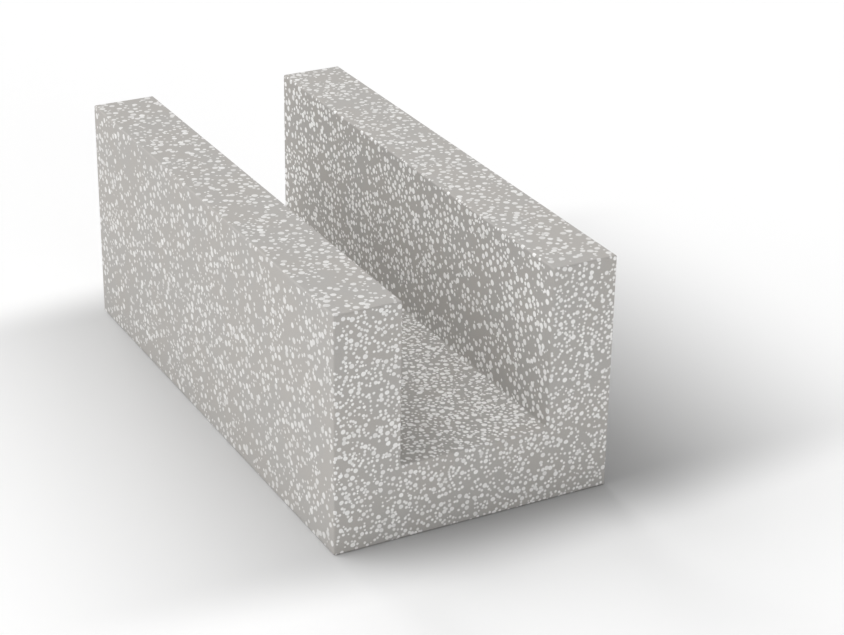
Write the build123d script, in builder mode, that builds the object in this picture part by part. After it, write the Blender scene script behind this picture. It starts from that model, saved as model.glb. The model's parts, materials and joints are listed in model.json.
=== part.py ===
"""U-shaped lightweight concrete block: a straight channel cast in one piece, open at the top and at both ends.

X runs across the block, Y along it and Z up. The origin is at the middle of the bed that the block lies on.
"""
import os

from build123d import *

# Overall size of the cast block, in millimetres
length = 600.0
width = 300.0
height = 250.0

# Section: two equal walls standing on a thicker floor
wall_thickness = 70.0
floor_thickness = 80.0

# Rounding that the mould leaves on every arris, and in the two corners at the foot of the channel
arris_radius = 2.0
foot_radius = 2.0

channel_width = width - 2 * wall_thickness
channel_depth = height - floor_thickness
on_base_line = (Align.CENTER, Align.MIN)

with BuildPart() as u_block:
    # The U section stands across the block and is carried half the length to each end
    with BuildSketch(Plane.XZ) as section:
        Rectangle(width, height, align=on_base_line)
        with Locations((0, floor_thickness)):
            Rectangle(channel_width, channel_depth, align=on_base_line, mode=Mode.SUBTRACT)
        foot_corners = section.vertices().group_by(Axis.Y)[1]
        fillet(foot_corners, radius=foot_radius)
    extrude(amount=length / 2, both=True)

    # The arrises are the lengthwise edges of the bed and of the two rims, and the outlines of both ends
    lengthwise_edges = u_block.edges().filter_by(Axis.Y).group_by(Axis.Z)
    bed_arrises = lengthwise_edges[0]
    rim_arrises = lengthwise_edges[-1]
    end_arrises = u_block.faces().filter_by(Axis.Y).edges()
    fillet(bed_arrises + rim_arrises + end_arrises, radius=arris_radius)

u_block.part.label = "u_block"

os.makedirs("parts", exist_ok=True)
export_step(u_block.part, "parts/u_block.step")
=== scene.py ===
"""A U-shaped block of polystyrene bead concrete: its finish, its surface beads, the studio and the camera.

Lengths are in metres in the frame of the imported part: X across the block, Y along it and Z up.
"""
import json
import math
from collections import namedtuple

import bmesh
import bpy
import numpy as np
from mathutils import Matrix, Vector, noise
from mathutils.bvhtree import BVHTree
from mathutils.kdtree import KDTree


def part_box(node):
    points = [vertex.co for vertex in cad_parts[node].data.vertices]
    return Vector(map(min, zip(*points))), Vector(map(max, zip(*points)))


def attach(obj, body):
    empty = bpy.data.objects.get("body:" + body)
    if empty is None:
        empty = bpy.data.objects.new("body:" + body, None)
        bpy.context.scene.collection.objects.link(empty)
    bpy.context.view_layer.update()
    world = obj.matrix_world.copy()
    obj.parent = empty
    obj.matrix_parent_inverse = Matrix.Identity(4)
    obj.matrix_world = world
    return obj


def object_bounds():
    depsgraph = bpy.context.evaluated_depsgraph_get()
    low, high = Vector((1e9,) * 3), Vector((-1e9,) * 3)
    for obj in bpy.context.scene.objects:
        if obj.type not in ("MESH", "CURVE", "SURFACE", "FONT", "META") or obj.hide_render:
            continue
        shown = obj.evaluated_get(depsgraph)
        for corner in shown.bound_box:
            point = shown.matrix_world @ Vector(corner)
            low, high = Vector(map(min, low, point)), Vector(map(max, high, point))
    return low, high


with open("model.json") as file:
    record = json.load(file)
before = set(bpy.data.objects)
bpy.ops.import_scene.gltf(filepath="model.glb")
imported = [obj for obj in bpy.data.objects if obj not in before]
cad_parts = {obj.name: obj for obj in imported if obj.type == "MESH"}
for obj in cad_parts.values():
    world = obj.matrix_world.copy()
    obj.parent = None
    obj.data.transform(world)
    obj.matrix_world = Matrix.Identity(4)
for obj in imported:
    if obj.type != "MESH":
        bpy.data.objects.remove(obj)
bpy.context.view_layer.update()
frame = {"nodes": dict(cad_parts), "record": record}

block = frame["nodes"]["u_block"]
block_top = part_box("u_block")[1].z
channel_bottom = frame["record"]["physics"]["openings"][0]["box_m"][0][2]

MM = 0.001
SQUARE_CM = 0.0001
ACROSS_BLOCK = (1.0, 0.0, 0.0)
ALONG_BLOCK = (0.0, 1.0, 0.0)

# Camera, fitted to the edges of the block in the photograph
IMAGE_WIDTH_PX = 844
FOCAL_LENGTH_PX = 2251.0
VIEW_AZIMUTH = math.radians(-28.53)
VIEW_ELEVATION = math.radians(25.66)
VIEW_ROLL = math.radians(0.92)
VIEW_DISTANCE = 2.4162
VIEW_SIDEWAYS = 0.0917
VIEW_RISE = 0.0788

# Light: an even dome that shows as pure white, and broad lamps, whose azimuth is 0 in front of the block
Lamp = namedtuple("Lamp", "strength azimuth elevation spread")
DOME_STRENGTH = 0.49
DOME_SHOWN = 1.0
LAMPS = {
    "key_lamp": Lamp(1.60, math.radians(-120), math.radians(44), math.radians(58)),
    "back_lamp": Lamp(0.82, math.radians(180), math.radians(30), math.radians(30)),
    "fill_lamp": Lamp(0.46, math.radians(0), math.radians(12), math.radians(30)),
}
WHITE = (1.0, 1.0, 1.0, 1.0)

# Floor: white, but for a painted shadow, a pale grey pool about the block that fades out all round
FLOOR_SIZE = 60.0
PAINTED_SHADOW_GREY = (0.44, 0.44, 0.44, 1.0)
PAINTED_SHADOW_CENTRE = (0.05, -0.005, 0.0)
PAINTED_SHADOW_HALF_SIZE = (0.0, 0.28, 1.0)
PAINTED_SHADOW_FADE = (0.56, 0.12, 1.0)

# Colours of the hardened cement paste and of the foam
PASTE_WARM = (0.4485, 0.4300, 0.4085, 1.0)
PASTE_COOL = (0.4450, 0.4310, 0.4135, 1.0)
# The dark of the pinholes is painted shade inside them
PINHOLE_PAINTED_SHADE = (0.230, 0.218, 0.205, 1.0)
CRUMB_PALE = (0.640, 0.630, 0.610, 1.0)
FOAM_WHITE = (0.940, 0.935, 0.925, 1.0)

# Cement paste: slow clouds, fine grain, pinholes with painted shade in them, and crumbs. Specks are sized
# as shares of their spacing
PASTE_CLOUDS = {"Cloud size": 45 * MM, "Grain size": 0.9 * MM}
CLOUD_DETAIL = 2.0
GRAIN_DETAIL = 3.0
CLOUD_EDGES = (0.40, 0.60)
GRAIN_EDGES = (0.25, 0.75)
GRAIN_SHADES = (0.97, 1.03)
PINHOLES = {"Spacing": 9 * MM, "Largest": 0.055, "Filled": 0.55}
PINHOLE_SHADE_STRENGTH = 0.65
CRUMBS = {"Spacing": 5 * MM, "Largest": 0.11, "Filled": 0.45}
CRUMB_STRENGTH = 0.45
SPECK_SIZES = (0.4, 1.0)
SPECK_EDGES = (0.7, 1.0)
PASTE_ROUGHNESS_EDGES = (0.3, 0.7)
PASTE_ROUGHNESS = (0.82, 0.95)
PASTE_GLOSS = 0.25
PASTE_BUMP = {"Strength": 0.25, "Distance": 0.3 * MM}
GRAIN_HEIGHT = 0.4

# Foam: closed cells, and paste that creeps a little way in over the rim, with a ragged edge
FOAM_CELLS = {"Spacing": 0.5 * MM, "Largest": 0.5, "Filled": 0.8}
FOAM_ROUGHNESS = (0.72, 0.60)
FOAM_GLOSS = 0.3
FOAM_BUMP = {"Strength": 0.15, "Distance": 0.1 * MM}
CREEP_RAGGEDNESS = 0.25
CREEP_EDGES = (0.95, 1.2)
CREEP_STRENGTHS = (0.0, 0.5)

# Beads: candidates per square centimetre, with the smallest and largest diameter, the largest class first
FINE_MIX = ((0.70, 4.3 * MM, 5.5 * MM), (3.9, 2.9 * MM, 3.65 * MM), (1.05, 1.6 * MM, 2.5 * MM))
COARSE_MIX = ((0.53, 5.6 * MM, 7.2 * MM), (0.98, 3.1 * MM, 4.4 * MM), (0.95, 1.9 * MM, 3.0 * MM))
BOLD_MIX = ((0.95, 5.5 * MM, 7.0 * MM), (1.45, 3.1 * MM, 4.4 * MM), (0.85, 1.9 * MM, 2.9 * MM))
CROWDED_MIX = ((1.05, 5.0 * MM, 6.8 * MM), (4.3, 2.9 * MM, 4.0 * MM), (2.9, 1.6 * MM, 2.6 * MM))

# Each face: its bead mix, how crowded and clumped it is, how much paste veils its beads, and how many
# merge. The veil is partly painted light: thinner on the shaded channel faces so that their beads show
# paler, thicker on the lit sides and rims
Beading = namedtuple("Beading", "mix crowding clumping film merging")
BEADED_FACES = {
    "ends": Beading(FINE_MIX, 1.12, 0.30, 0.25, 0.75),
    "sides": Beading(COARSE_MIX, 1.00, 0.85, 0.45, 0.50),
    "rims": Beading(COARSE_MIX, 1.22, 0.85, 0.43, 0.50),
    "channel_walls": Beading(BOLD_MIX, 1.18, 0.85, 0.07, 0.50),
    "channel_floor": Beading(CROWDED_MIX, 1.04, 0.70, 0.10, 0.65),
    "bed": Beading(COARSE_MIX, 1.00, 0.85, 0.45, 0.50),
}
SCATTER_SEED = 523
CLUMP_SIZE = 28 * MM
CLEAR_GAP = 0.35 * MM
MERGING_REACH = 0.80
FILM_SPREAD = 0.07
THICKEST_FILM = 0.9

# A bead's own form: rim just clear of the paste, a low crown, and the rest buried
RIM_HEIGHT = 0.02 * MM
CROWN_SHARE = 0.03
BURIED_SHARE = 0.8
LEAST_ROUND = 0.88
LOBES = 3
LOBE_SHARE = 0.07
CREASE_ANGLE = math.radians(30)

# Sides and rings of the ball that a bead is made from, on a flat face and where it bends round an arris
FLAT_BLANK = (10, 2)
BENT_BLANK = (12, 6)

# Tests of how a bead lies: whether its whole rim is on one face, and whether it looks along the block
RIM_PROBES = 8
FLAT_TOLERANCE = 0.01 * MM
MOSTLY_ALONG = 0.7


def node(tree, kind, inputs=None, **settings):
    """Adds a node. Its inputs are given by name or number, as plain values or as sockets to link from."""
    made = tree.nodes.new(kind)
    for name, value in settings.items():
        setattr(made, name, value)
    for name, value in (inputs or {}).items():
        if isinstance(value, bpy.types.NodeSocket):
            tree.links.new(value, made.inputs[name])
        else:
            made.inputs[name].default_value = value
    return made


def math_node(tree, operation, first, second=0.0):
    """The result of an operation on two values or sockets."""
    return node(tree, "ShaderNodeMath", {0: first, 1: second}, operation=operation).outputs[0]


def vector_node(tree, operation, first, second=(0.0, 0.0, 0.0)):
    """The result of an operation on two vectors or sockets."""
    return node(tree, "ShaderNodeVectorMath", {0: first, 1: second}, operation=operation).outputs["Vector"]


def eased(tree, value, start, end, low=0.0, high=1.0):
    """Carries a value smoothly from low to high as it goes from start to end."""
    ends = {"Value": value, "From Min": start, "From Max": end, "To Min": low, "To Max": high}
    return node(tree, "ShaderNodeMapRange", ends, interpolation_type="SMOOTHSTEP").outputs["Result"]


def blended(tree, share, first, second):
    """The first colour, giving way to the second by share."""
    mix = node(tree, "ShaderNodeMix", {0: share, 6: first, 7: second}, data_type="RGBA")
    return mix.outputs[2]


def new_group(name, inputs, outputs):
    """An empty shader node group, with its input and output nodes and plain values at all its sockets."""
    group = bpy.data.node_groups.new(name, "ShaderNodeTree")
    for label in inputs:
        group.interface.new_socket(label, in_out="INPUT", socket_type="NodeSocketFloat")
    for label in outputs:
        group.interface.new_socket(label, in_out="OUTPUT", socket_type="NodeSocketFloat")
    return group, group.nodes.new("NodeGroupInput"), group.nodes.new("NodeGroupOutput")


def make_cloudiness():
    """Slow clouds and fine grain, each from 0 to 1, at sizes given in metres."""
    group, given, out = new_group("cloudiness", ("Cloud size", "Grain size"), ("Clouds", "Grain"))
    place = node(group, "ShaderNodeTexCoord").outputs["Object"]
    layers = (("Cloud size", "Clouds", CLOUD_DETAIL), ("Grain size", "Grain", GRAIN_DETAIL))
    for size, value, detail in layers:
        scale = math_node(group, "DIVIDE", 1.0, given.outputs[size])
        texture = node(group, "ShaderNodeTexNoise", {"Vector": place, "Scale": scale, "Detail": detail})
        group.links.new(texture.outputs["Fac"], out.inputs[value])
    return group


def make_specks():
    """A mask of round specks: one to a cell, of differing size, with only a share of the cells filled."""
    group, given, out = new_group("specks", ("Spacing", "Largest", "Filled"), ("Mask",))
    place = node(group, "ShaderNodeTexCoord").outputs["Object"]
    scale = math_node(group, "DIVIDE", 1.0, given.outputs["Spacing"])
    cells = node(group, "ShaderNodeTexVoronoi", {"Vector": place, "Scale": scale})
    lot = node(group, "ShaderNodeSeparateColor", {"Color": cells.outputs["Color"]})
    filled = math_node(group, "LESS_THAN", lot.outputs["Red"], given.outputs["Filled"])
    size_share = eased(group, lot.outputs["Green"], 0.0, 1.0, *SPECK_SIZES)
    size = math_node(group, "MULTIPLY", size_share, given.outputs["Largest"])
    near = math_node(group, "DIVIDE", cells.outputs["Distance"], size)
    round_spot = eased(group, near, *SPECK_EDGES, 1.0, 0.0)
    group.links.new(math_node(group, "MULTIPLY", round_spot, filled), out.inputs["Mask"])
    return group


def new_material(name):
    """A material with only its shader and output."""
    material = bpy.data.materials.new(name)
    material.use_nodes = True
    return material, material.node_tree, material.node_tree.nodes["Principled BSDF"]


def give_finish(tree, shader, colour, roughness, height, bump, gloss):
    """Joins a colour, a roughness and a relief to a material's shader, and sets its gloss."""
    tree.links.new(colour, shader.inputs["Base Color"])
    tree.links.new(roughness, shader.inputs["Roughness"])
    relief = node(tree, "ShaderNodeBump", {"Height": height, **bump})
    tree.links.new(relief.outputs["Normal"], shader.inputs["Normal"])
    shader.inputs["Specular IOR Level"].default_value = gloss


def paste_colour(tree, cloudiness):
    """The cement's own colour, warm and cool in clouds under a fine even grain, and the grain itself."""
    variation = node(tree, "ShaderNodeGroup", PASTE_CLOUDS, node_tree=cloudiness)
    clouds = eased(tree, variation.outputs["Clouds"], *CLOUD_EDGES)
    tint = blended(tree, clouds, PASTE_WARM, PASTE_COOL)
    grain = eased(tree, variation.outputs["Grain"], *GRAIN_EDGES, *GRAIN_SHADES)
    shade = node(tree, "ShaderNodeVectorMath", {0: tint, "Scale": grain}, operation="SCALE")
    return shade.outputs["Vector"], variation.outputs["Grain"]


def make_paste(cloudiness, specks):
    """Smooth moulded cement paste with pale crumbs of foam, and pinholes sunk in its relief and darkened
    with painted shade.
    """
    material, tree, shader = new_material("cement_paste")
    colour, grain = paste_colour(tree, cloudiness)
    pinholes = node(tree, "ShaderNodeGroup", PINHOLES, node_tree=specks).outputs["Mask"]
    crumbs = node(tree, "ShaderNodeGroup", CRUMBS, node_tree=specks).outputs["Mask"]
    colour = blended(tree, math_node(tree, "MULTIPLY", crumbs, CRUMB_STRENGTH), colour, CRUMB_PALE)
    # Darkening the pinholes paints the shade inside them
    colour = blended(tree, math_node(tree, "MULTIPLY", pinholes, PINHOLE_SHADE_STRENGTH), colour, PINHOLE_PAINTED_SHADE)
    roughness = eased(tree, grain, *PASTE_ROUGHNESS_EDGES, *PASTE_ROUGHNESS)
    height = math_node(tree, "SUBTRACT", math_node(tree, "MULTIPLY", grain, GRAIN_HEIGHT), pinholes)
    give_finish(tree, shader, colour, roughness, height, PASTE_BUMP, PASTE_GLOSS)
    return material


def make_foam(cloudiness, specks):
    """White closed-cell foam, veiled by paste: all over by the bead's own film, whose level per face is
    partly painted light, and more at its rim.
    """
    material, tree, shader = new_material("bead_foam")
    film = node(tree, "ShaderNodeAttribute", attribute_name="film").outputs["Fac"]
    reach = node(tree, "ShaderNodeAttribute", attribute_name="reach").outputs["Fac"]
    paste, grain = paste_colour(tree, cloudiness)
    cells = node(tree, "ShaderNodeGroup", FOAM_CELLS, node_tree=specks).outputs["Mask"]
    ragged = math_node(tree, "ADD", reach, math_node(tree, "MULTIPLY", grain, CREEP_RAGGEDNESS))
    creep = eased(tree, ragged, *CREEP_EDGES, *CREEP_STRENGTHS)
    veil = math_node(tree, "MAXIMUM", film, creep)
    colour = blended(tree, veil, FOAM_WHITE, paste)
    roughness = eased(tree, cells, 0.0, 1.0, *FOAM_ROUGHNESS)
    give_finish(tree, shader, colour, roughness, cells, FOAM_BUMP, FOAM_GLOSS)
    return material


def make_floor():
    """A matt white floor with a painted shadow: a grey pool about the block."""
    material, tree, shader = new_material("studio_floor")
    place = node(tree, "ShaderNodeTexCoord").outputs["Object"]
    from_centre = vector_node(tree, "SUBTRACT", place, PAINTED_SHADOW_CENTRE)
    past_edge = vector_node(tree, "SUBTRACT", vector_node(tree, "ABSOLUTE", from_centre), PAINTED_SHADOW_HALF_SIZE)
    faded = vector_node(tree, "DIVIDE", vector_node(tree, "MAXIMUM", past_edge), PAINTED_SHADOW_FADE)
    outside = node(tree, "ShaderNodeVectorMath", {0: faded}, operation="LENGTH").outputs["Value"]
    # The grey of the pool is painted shadow, darkest about the block and fading to white away from it
    colour = blended(tree, eased(tree, outside, 0.0, 1.0), PAINTED_SHADOW_GREY, WHITE)
    tree.links.new(colour, shader.inputs["Base Color"])
    shader.inputs["Roughness"].default_value = 1.0
    shader.inputs["Specular IOR Level"].default_value = 0.0
    return material


def surface_triangles():
    """The block's triangles: their corners, outward normals and areas."""
    mesh = block.data
    mesh.calc_loop_triangles()
    corners = np.array([[mesh.vertices[v].co for v in t.vertices] for t in mesh.loop_triangles])
    across = np.cross(corners[:, 1] - corners[:, 0], corners[:, 2] - corners[:, 0])
    doubled = np.linalg.norm(across, axis=1)
    solid = doubled > 0
    return corners[solid], across[solid] / doubled[solid, None], doubled[solid] / 2


def face_names(middles, normals):
    """Which face of the block each triangle belongs to, going by its place and by where it looks."""
    main_axis = np.abs(normals).argmax(axis=1)
    level = main_axis == 2
    low_down = middles[:, 2] < (channel_bottom + block_top) / 2
    tests = {
        "ends": main_axis == 1,
        "bed": level & (normals[:, 2] < 0),
        "channel_floor": level & low_down,
        "rims": level,
        "channel_walls": normals[:, 0] * middles[:, 0] < 0,
    }
    return np.select(list(tests.values()), list(tests), "sides")


def clumps(places):
    """Slow waves over the block, from -1 between the clumps of beads to 1 in them."""
    return np.array([noise.noise(place / CLUMP_SIZE) for place in places])


def bead_candidates(chance):
    """Beads thrown on every face, the largest class first: face names, places, normals, radii and films."""
    corners, normals, areas = surface_triangles()
    names = face_names(corners.mean(axis=1), normals)
    thrown = []
    for size_class in range(len(FINE_MIX)):
        for name, beading in BEADED_FACES.items():
            per_square_cm, smallest, largest = beading.mix[size_class]
            densest = 1 + beading.clumping
            own = np.flatnonzero(names == name)
            area = areas[own].sum()
            count = round(per_square_cm * beading.crowding * densest * area / SQUARE_CM)
            hit = chance.choice(own, count, p=areas[own] / area)
            along = np.sqrt(chance.random(count))
            across = chance.random(count)
            shares = np.stack([1 - along, along * (1 - across), along * across], axis=1)
            places = np.einsum("bc,bcx->bx", shares, corners[hit])
            radii = chance.uniform(smallest, largest, count) / 2
            # The face's film level is partly painted light: thin where the face lies in shade, thick where
            # it is lit
            films_and_shade = np.clip(beading.film + chance.normal(0.0, FILM_SPREAD, count), 0.0, THICKEST_FILM)
            settled = chance.random(count) * densest < 1 + beading.clumping * clumps(places)
            columns = (np.full(count, name), places, normals[hit], radii, films_and_shade)
            thrown.append([column[settled] for column in columns])
    return [np.concatenate(column) for column in zip(*thrown)]


def standing_clear(places, radii, merging):
    """Marks the beads that keep clear of all kept before them. The merging ones may run in a little."""
    tree = KDTree(len(places))
    for index, place in enumerate(places):
        tree.insert(place, index)
    tree.balance()
    kept = np.zeros(len(places), bool)
    widest = radii.max()
    for index, place in enumerate(places):
        for _, other, distance in tree.find_range(place, radii[index] + widest + CLEAR_GAP):
            room = radii[index] + radii[other]
            least = room * MERGING_REACH if merging[index] else room + CLEAR_GAP
            if kept[other] and distance < least:
                break
        else:
            kept[index] = True
    return kept


def bead_blank(sides, rings):
    """A unit ball of few faces, as arrays of points and of triangles, sorted so that every run is alike."""
    ball = bmesh.new()
    bmesh.ops.create_uvsphere(ball, u_segments=sides, v_segments=rings, radius=1)
    bmesh.ops.triangulate(ball, faces=ball.faces)
    ball.verts.index_update()
    points = np.array([v.co for v in ball.verts])
    faces = np.array(sorted([v.index for v in f.verts] for f in ball.faces))
    ball.free()
    return points, faces


def tangents(normals):
    """Two directions in the surface at each bead, square to its normal and to each other."""
    helper = np.where(np.abs(normals[:, 1:2]) < MOSTLY_ALONG, ALONG_BLOCK, ACROSS_BLOCK)
    first = np.cross(helper, normals)
    first /= np.linalg.norm(first, axis=1, keepdims=True)
    return first, np.cross(normals, first)


def laid_on(surface, points):
    """The nearest points of the block's surface, and its outward normals there."""
    found = [surface.find_nearest(point) for point in points.reshape(-1, 3)]
    places = np.array([hit[0] for hit in found]).reshape(points.shape)
    normals = np.array([hit[1] for hit in found]).reshape(points.shape)
    return places, normals


def bead_meshes(beads, blank, chance, surface=None):
    """Points, triangles, film and reach of a set of beads. With a surface given, they bend with it."""
    places, normals, radii, films_and_shade = beads
    points, faces = blank
    count = len(places)
    first, second = tangents(normals)
    turn, lobe_turn = chance.uniform(0, 2 * math.pi, (2, count, 1))
    lobes = np.cos(LOBES * np.arctan2(points[:, 1], points[:, 0]) + lobe_turn)
    outline = radii[:, None] * (1 + chance.uniform(0, LOBE_SHARE, (count, 1)) * lobes)
    wide = outline * points[:, 0]
    narrow = outline * points[:, 1] * chance.uniform(LEAST_ROUND, 1.0, (count, 1))
    along = wide * np.cos(turn) - narrow * np.sin(turn)
    across = wide * np.sin(turn) + narrow * np.cos(turn)
    laid = places[:, None] + along[..., None] * first[:, None] + across[..., None] * second[:, None]
    outward = np.broadcast_to(normals[:, None], laid.shape)
    if surface:
        laid, outward = laid_on(surface, laid)
    rise = np.where(points[:, 2] > 0, CROWN_SHARE, BURIED_SHARE) * points[:, 2]
    heights = RIM_HEIGHT + radii[:, None] * rise
    bodies = laid + heights[..., None] * outward
    indices = faces + len(points) * np.arange(count)[:, None, None]
    film = np.repeat(films_and_shade, len(points))
    reach = np.tile(np.hypot(points[:, 0], points[:, 1]), count)
    return bodies.reshape(-1, 3), indices.reshape(-1, 3), film, reach


def block_surface():
    """The block's triangles, ready for finding the nearest point on them."""
    corners, _, _ = surface_triangles()
    points = corners.reshape(-1, 3)
    return BVHTree.FromPolygons(points.tolist(), np.arange(len(points)).reshape(-1, 3).tolist())


def crossing_arris(surface, places, normals, radii):
    """Marks the beads that aren't on one flat face all round their rim."""
    first, second = tangents(normals)
    crossing = np.zeros(len(places), bool)
    for angle in np.linspace(0, 2 * math.pi, RIM_PROBES, endpoint=False):
        rim = places + radii[:, None] * (math.cos(angle) * first + math.sin(angle) * second)
        under, _ = laid_on(surface, rim)
        crossing |= np.linalg.norm(under - rim, axis=1) > FLAT_TOLERANCE
    return crossing


def add_piece(name, points, faces, values, material):
    """A joined mesh that rides on the block, with named values at its points."""
    mesh = bpy.data.meshes.new(name)
    mesh.from_pydata(points, [], faces)
    for label, numbers in values.items():
        mesh.attributes.new(label, "FLOAT", "POINT").data.foreach_set("value", numbers.astype(np.float32))
    mesh.shade_smooth()
    mesh.set_sharp_from_angle(angle=CREASE_ANGLE)
    mesh.materials.append(material)
    piece = bpy.data.objects.new(name, mesh)
    bpy.context.scene.collection.objects.link(piece)
    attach(piece, "root")


def make_beads(material):
    """The beads that show on the block, one joined piece for each kind of face."""
    chance = np.random.default_rng(SCATTER_SEED)
    names, *beads = bead_candidates(chance)
    places, normals, radii, _ = beads
    surface = block_surface()
    crossing = crossing_arris(surface, places, normals, radii)
    merging_shares = np.array([BEADED_FACES[name].merging for name in names])
    merging = chance.random(len(names)) < merging_shares
    kept = standing_clear(places, radii, merging)
    names, crossing, *beads = (column[kept] for column in (names, crossing, *beads))
    flat_blank = bead_blank(*FLAT_BLANK)
    bent_blank = bead_blank(*BENT_BLANK)
    for name in BEADED_FACES:
        flat = [column[(names == name) & ~crossing] for column in beads]
        bent = [column[(names == name) & crossing] for column in beads]
        flat_set = bead_meshes(flat, flat_blank, chance)
        bent_set = bead_meshes(bent, bent_blank, chance, surface)
        points, faces, films_and_shade, reach = (np.concatenate(pair) for pair in zip(flat_set, bent_set))
        faces[len(flat_set[1]):] += len(flat_set[0])
        add_piece("beads_" + name, points, faces, {"film": films_and_shade, "reach": reach}, material)


def make_stage():
    """A wide pale floor just under the block."""
    floor = bmesh.new()
    bmesh.ops.create_grid(floor, x_segments=1, y_segments=1, size=FLOOR_SIZE / 2)
    bmesh.ops.translate(floor, verts=floor.verts, vec=(0, 0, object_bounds()[0].z))
    mesh = bpy.data.meshes.new("floor")
    floor.to_mesh(mesh)
    floor.free()
    mesh.materials.append(make_floor())
    ground = bpy.data.objects.new("floor", mesh)
    bpy.context.scene.collection.objects.link(ground)


def make_light():
    """An even white dome, seen as pure white, and the lamps."""
    world = bpy.data.worlds.new("studio")
    bpy.context.scene.world = world
    world.use_nodes = True
    tree = world.node_tree
    rays = node(tree, "ShaderNodeLightPath").outputs
    mirrored = math_node(tree, "MAXIMUM", rays["Is Glossy Ray"], rays["Is Transmission Ray"])
    seen = math_node(tree, "MAXIMUM", rays["Is Camera Ray"], mirrored)
    dome = tree.nodes["Background"]
    dome.inputs["Color"].default_value = WHITE
    tree.links.new(eased(tree, seen, 0.0, 1.0, DOME_STRENGTH, DOME_SHOWN), dome.inputs["Strength"])
    for name, setting in LAMPS.items():
        light = bpy.data.lights.new(name, "SUN")
        light.energy = setting.strength
        light.angle = setting.spread
        lamp = bpy.data.objects.new(name, light)
        lamp.rotation_euler = (math.pi / 2 - setting.elevation, 0, setting.azimuth)
        bpy.context.scene.collection.objects.link(lamp)


def place_camera():
    """Stands the camera where the photograph was taken from."""
    data = bpy.data.cameras.new("camera")
    data.lens = data.sensor_width * FOCAL_LENGTH_PX / IMAGE_WIDTH_PX
    camera = bpy.data.objects.new("camera", data)
    round_block = Matrix.Rotation(VIEW_AZIMUTH, 4, "Z")
    tip_down = Matrix.Rotation(math.pi / 2 - VIEW_ELEVATION, 4, "X")
    roll = Matrix.Rotation(VIEW_ROLL, 4, "Z")
    step_back = Matrix.Translation((VIEW_SIDEWAYS, VIEW_RISE, VIEW_DISTANCE))
    camera.matrix_world = round_block @ tip_down @ roll @ step_back
    bpy.context.scene.collection.objects.link(camera)
    bpy.context.scene.camera = camera


bpy.context.scene.view_settings.view_transform = "Standard"
cloudiness = make_cloudiness()
specks = make_specks()
block.data.materials.clear()
block.data.materials.append(make_paste(cloudiness, specks))
make_beads(make_foam(cloudiness, specks))
make_stage()
make_light()
place_camera()
